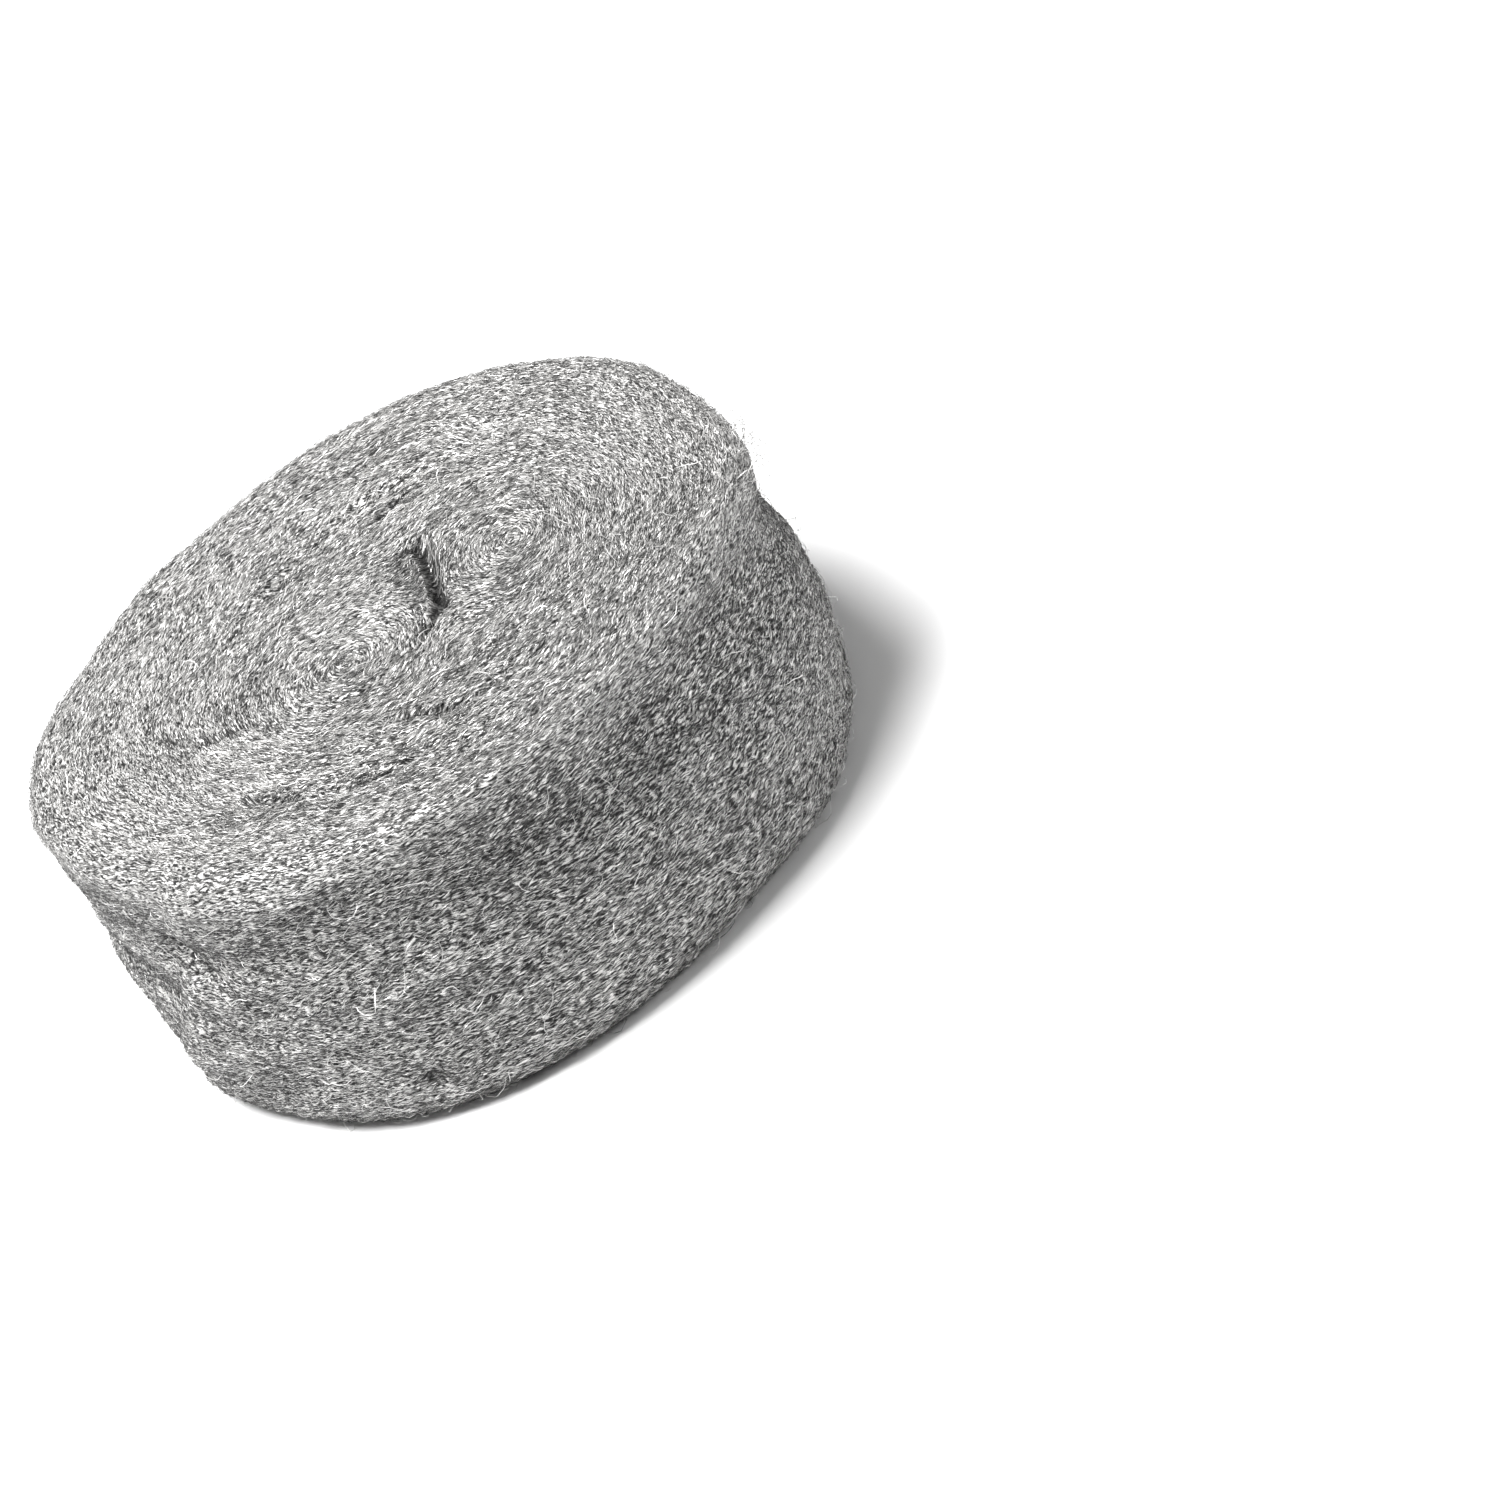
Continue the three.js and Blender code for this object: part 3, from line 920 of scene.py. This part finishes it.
def wall_lines(angle, run):
    """Thin dark lines along the ribbon, from 0 to 1."""
    x, y = np.cos(angle), np.sin(angle)
    return bell(noise(x * 3.4, y * 3.4, run / 3.0 + x, SEED + 16), LINE_WIDTH)


def build_face_layer(name, rng, material, count, places, style, share):
    at = even_spread(rng, count, 3, FACE_PATCHES)
    lift = arch(rng, count, places, *style["arch"])
    length = rng.uniform(*style["length"], count)
    paths, normals = face_paths(rng, at, places, length, *style["wander"], lift)
    x, y = paths[:, places // 2, 0], paths[:, places // 2, 1]
    share = share + STREAK_SHARE * face_streaks(x, y) + LINE_SHARE * face_lines(x, y)
    # Painted light: fewer dark fibres toward the face's back left, as if lit more from there.
    share = share + PAINTED_LIGHT_TILT_SHARE * (y - x) / ROLL_DIAMETER
    shade = fibre_shades(rng, at[:, 2], share)
    # Painted shade: fibres in a fold are painted darker.
    _, dark = folds_at(paths[:, :, 0], paths[:, :, 1])
    dark = dark.max(axis=1)
    in_fold = rng.random(count) < FOLD_PAINTED_SHADE_CHANCE * dark
    shade = np.where(in_fold, PAINTED_SHADE_FACTOR * shade, shade)
    paths = raise_dark(paths, normals, shade)
    width = fibre_widths(rng, shade, style["half_width"])
    build_fibres(name, rng, paths, normals, width, shade, material)


def add_tuft(rng, at, lift):
    """Some loose fibres gather into a stray tuft that stands off the rim."""
    angle = np.radians(rng.normal(TUFT_ANGLE, TUFT_SPREAD, TUFT_FIBRES))
    at[:TUFT_FIBRES, 0] = angle / (2 * math.pi) + 0.5
    at[:TUFT_FIBRES, 1] = rng.uniform(TUFT_LOWEST, TUFT_HIGHEST, TUFT_FIBRES)
    along = np.linspace(0.0, 1.0, lift.shape[1])[None, :]
    height = rng.uniform(0.3, 1.0, TUFT_FIBRES)[:, None] * TUFT_HEIGHT
    lift[:TUFT_FIBRES] += height * np.sin(math.pi * along)


def soften_rim(run, shade):
    """Bright and dark fibres differ less on the rim."""
    in_rim = smoothstep(run, FOOT_ARC + WALL_RUN - 3.0, FOOT_ARC + WALL_RUN + 1.0)
    soft = 1.0 - (1.0 - RIM_CONTRAST) * in_rim
    return RIM_SHADE + (shade - RIM_SHADE) * soft


def build_wall_layer(name, rng, material, count, places, style, share):
    at = even_spread(rng, count, 3, WALL_PATCHES)
    lift = arch(rng, count, places, *style["arch"])
    if style is LOOSE_STYLE:
        add_tuft(rng, at, lift)
    length = rng.uniform(*style["length"], count)
    paths, normals = wall_paths(rng, at, places, length, *style["wander"], lift)
    angle, run = spread_angle(at), spread_run(at)
    share = share + STREAK_SHARE * wall_streaks(angle, run) + LINE_SHARE * wall_lines(angle, run)
    # Painted shade under the rim and painted bounce light near the foot.
    share = share + PAINTED_BAND_SHARE * painted_wall_light_bands(angle, run)
    shade = soften_rim(run, fibre_shades(rng, at[:, 2], share))
    # Painted shade: fibres in a dent are painted darker.
    dark = DENT_PAINTED_SHADE_CHANCE * smoothstep(dent_depth(angle, run), DENT_SHADE_FROM, DENT_SHADE_FULL)
    shade = np.where(rng.random(count) < dark, PAINTED_SHADE_FACTOR * shade, shade)
    paths = raise_dark(paths, normals, shade)
    width = fibre_widths(rng, shade, style["half_width"])
    build_fibres(name, rng, paths, normals, width, shade, material)


def build_foot_layer(name, rng, material):
    count, places, style = FOOT_FIBRES, 3, FOOT_STYLE
    length = rng.uniform(*style["length"], count)
    paths, normals = foot_paths(rng, count, places, length, *style["wander"])
    width = rng.uniform(*style["half_width"], count)
    shade = fibre_shades(rng, rng.random(count), WALL_DARK_SHARE)
    build_fibres(name, rng, paths, normals, width, shade, material)


def build_all_fibres(material):
    """Fibres lie in layers: the face's, the wall's, the foot's, and loose ones outermost."""
    rng = np.random.default_rng(SEED)
    share = FACE_DARK_SHARE
    for letter in "ab":
        name = "face_fibres_" + letter
        build_face_layer(name, rng, material, FACE_FIBRES, 3, FACE_STYLE, share)
    share = WALL_DARK_SHARE
    for letter in "abc":
        name = "wall_fibres_" + letter
        build_wall_layer(name, rng, material, WALL_FIBRES, 3, WALL_STYLE, share)
    build_foot_layer("foot_fibres", rng, material)
    share, count = LOOSE_DARK_SHARE, LOOSE_FIBRES
    build_face_layer("loose_face_fibres", rng, material, count, 8, LOOSE_STYLE, share)
    build_wall_layer("loose_wall_fibres", rng, material, count, 8, LOOSE_STYLE, share)
    build_wall_layer("wall_fuzz", rng, material, FUZZ_FIBRES, 5, FUZZ_STYLE, share)


# ---- Materials -------------------------------------------------------------------------------

# The darkest grey, for the painted shade of the gaps between fibres and in the folds.
DEEP_GREY = (0.012, 0.012, 0.0115, 1)


def node(tree, kind, sockets=(), **values):
    made = tree.nodes.new(kind)
    for key, value in values.items():
        setattr(made, key, value)
    for socket, value in sockets:
        made.inputs[socket].default_value = value
    return made


def steel_material(name, metallic):
    material = bpy.data.materials.new(name)
    material.use_nodes = True
    tree = material.node_tree
    shader = tree.nodes["Principled BSDF"]
    shader.inputs["Metallic"].default_value = metallic
    return material, tree, shader


def grey_ramp(tree, middle_place, middle, bright):
    """A ramp from a deep grey, through the middle colour, to the bright one."""
    ramp = node(tree, "ShaderNodeValToRGB")
    elements = ramp.color_ramp.elements
    elements[0].color = DEEP_GREY
    elements[1].color = bright
    elements.new(middle_place).color = middle
    return ramp


def set_roughness(tree, shader, source, lowest, highest):
    """Roughness from lowest to highest as the source goes from 0 to 1."""
    rough = node(tree, "ShaderNodeMapRange", (("To Min", lowest), ("To Max", highest)))
    tree.links.new(source, rough.inputs["Value"])
    tree.links.new(rough.outputs["Result"], shader.inputs["Roughness"])


def set_bump(tree, shader, source, strength, distance):
    bump = node(tree, "ShaderNodeBump", (("Strength", strength), ("Distance", distance)))
    tree.links.new(source, bump.inputs["Height"])
    tree.links.new(bump.outputs["Normal"], shader.inputs["Normal"])


def fibre_material():
    """Drawn steel. A fibre's place on its map sets its grey; fine scratches roughen it."""
    material, tree, shader = steel_material("fibre_steel", 0.3)
    link = tree.links.new
    place = node(tree, "ShaderNodeUVMap", uv_map=BAKE_MAP)
    split = node(tree, "ShaderNodeSeparateXYZ")
    link(place.outputs["UV"], split.inputs["Vector"])
    ramp = grey_ramp(tree, 0.5, (0.34, 0.336, 0.33, 1), (0.94, 0.93, 0.915, 1))
    link(split.outputs["X"], ramp.inputs["Fac"])
    link(ramp.outputs["Color"], shader.inputs["Base Color"])
    scratch = node(tree, "ShaderNodeTexNoise", (("Scale", 60.0), ("Detail", 2.0)))
    link(place.outputs["UV"], scratch.inputs["Vector"])
    set_roughness(tree, shader, scratch.outputs["Fac"], 0.3, 0.5)
    set_bump(tree, shader, scratch.outputs["Fac"], 0.25, 0.00002)
    return material


def grain_strokes(tree):
    """Noise drawn out along the ribbon into short strokes that sway a little."""
    link = tree.links.new
    grain = node(tree, "ShaderNodeAttribute", attribute_name="grain")
    wave = node(tree, "ShaderNodeTexNoise", (("Scale", 0.5), ("Detail", 1.0)))
    link(grain.outputs["Vector"], wave.inputs["Vector"])
    middle = ((1, (0.5, 0.5, 0.5)),)
    centred = node(tree, "ShaderNodeVectorMath", middle, operation="SUBTRACT")
    link(wave.outputs["Color"], centred.inputs[0])
    amount = ((1, (0.5, 0.5, 1.1)),)
    sway = node(tree, "ShaderNodeVectorMath", amount, operation="MULTIPLY_ADD")
    link(centred.outputs["Vector"], sway.inputs[0])
    link(grain.outputs["Vector"], sway.inputs[2])
    pitch = ((1, GRAIN_PITCH),)
    stretch = node(tree, "ShaderNodeVectorMath", pitch, operation="MULTIPLY")
    link(sway.outputs["Vector"], stretch.inputs[0])
    looks = (("Scale", 1.0), ("Detail", 2.5), ("Roughness", 0.65), ("Distortion", 0.1))
    strokes = node(tree, "ShaderNodeTexNoise", looks)
    link(stretch.outputs["Vector"], strokes.inputs["Vector"])
    limits = (("From Min", 0.43), ("From Max", 0.57))
    level = node(tree, "ShaderNodeMapRange", limits)
    link(strokes.outputs["Fac"], level.inputs["Value"])
    return level.outputs["Result"]


def body_material():
    """Packed fine wool: short light strokes with dark gaps painted in as the shade between
    fibres, and painted shade in the folds.
    """
    material, tree, shader = steel_material("packed_wool", 0.2)
    link = tree.links.new
    strokes = grain_strokes(tree)
    painted_fold_light = node(tree, "ShaderNodeAttribute", attribute_name="painted_fold_light")
    # Painted shade: the strokes are darkened in the folds.
    lit = node(tree, "ShaderNodeMath", operation="MULTIPLY")
    link(strokes, lit.inputs[0])
    link(painted_fold_light.outputs["Fac"], lit.inputs[1])
    ramp = grey_ramp(tree, 0.4, (0.2, 0.198, 0.194, 1), (0.85, 0.84, 0.825, 1))
    link(lit.outputs["Value"], ramp.inputs["Fac"])
    link(ramp.outputs["Color"], shader.inputs["Base Color"])
    set_roughness(tree, shader, strokes, 0.75, 0.5)
    set_bump(tree, shader, strokes, 1.0, 0.0003)
    return material


# ---- Floor, lamps and camera -----------------------------------------------------------------

def build_floor():
    mesh = bpy.data.meshes.new("studio_floor")
    half = FLOOR_HALF
    corners = [(-half, -half, 0), (half, -half, 0), (half, half, 0), (-half, half, 0)]
    mesh.from_pydata(corners, [], [(0, 1, 2, 3)])
    floor = bpy.data.objects.new("studio_floor", mesh)
    bpy.context.scene.collection.objects.link(floor)
    material = bpy.data.materials.new("studio_paper")
    material.use_nodes = True
    shader = material.node_tree.nodes["Principled BSDF"]
    shader.inputs["Base Color"].default_value = (0.9, 0.9, 0.9, 1)
    shader.inputs["Roughness"].default_value = 0.9
    mesh.materials.append(material)


def add_lamp(name, position, size, power, target):
    light = bpy.data.lights.new(name, "AREA")
    light.shape = "DISK"
    light.size = size
    light.energy = power
    lamp = bpy.data.objects.new(name, light)
    lamp.location = position
    aim = Vector(target) - Vector(position)
    lamp.rotation_euler = aim.to_track_quat("-Z", "Y").to_euler()
    bpy.context.scene.collection.objects.link(lamp)


def build_lights(target):
    for name, position, size, power in LAMPS:
        add_lamp(name, position, size, power, target)
    world = bpy.data.worlds.new("studio")
    world.use_nodes = True
    background = world.node_tree.nodes["Background"]
    background.inputs["Color"].default_value = (1, 1, 1, 1)
    background.inputs["Strength"].default_value = WORLD_STRENGTH
    bpy.context.scene.world = world


def build_camera(target):
    """The camera looks past the roll, which stands left of the middle of the frame."""
    elevation, roll = math.radians(VIEW_ELEVATION), math.radians(VIEW_ROLL)
    toward = Vector((0.0, -math.cos(elevation), math.sin(elevation)))
    flat_right = Vector((1.0, 0.0, 0.0))
    flat_up = toward.cross(flat_right)
    right = math.cos(roll) * flat_right - math.sin(roll) * flat_up
    up = math.sin(roll) * flat_right + math.cos(roll) * flat_up
    position = Vector(target) + VIEW_DISTANCE * toward
    sight = Vector((TARGET_RIGHT, TARGET_UP, -FOCAL_IN_FRAMES)).normalized()
    basis = Matrix((right, up, toward)).transposed()
    straight = Vector((0.0, 0.0, -1.0))
    turn = straight.rotation_difference(sight).to_matrix()
    camera_basis = basis @ turn.inverted()
    lens = bpy.data.cameras.new("camera")
    lens.sensor_width = SENSOR_WIDTH
    lens.lens = SENSOR_WIDTH * FOCAL_IN_FRAMES
    camera = bpy.data.objects.new("camera", lens)
    camera.matrix_world = Matrix.Translation(position) @ camera_basis.to_4x4()
    bpy.context.scene.collection.objects.link(camera)
    bpy.context.scene.camera = camera


# ---- Scene -----------------------------------------------------------------------------------

low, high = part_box(NODE)
target = ((low[0] + high[0]) / 2, (low[1] + high[1]) / 2, (low[2] + high[2]) / 2)
body = build_body(body_material())
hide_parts(NODE)
build_all_fibres(fibre_material())
build_floor()
build_lights(target)
build_camera(target)
bpy.context.scene.view_settings.view_transform = "Standard"
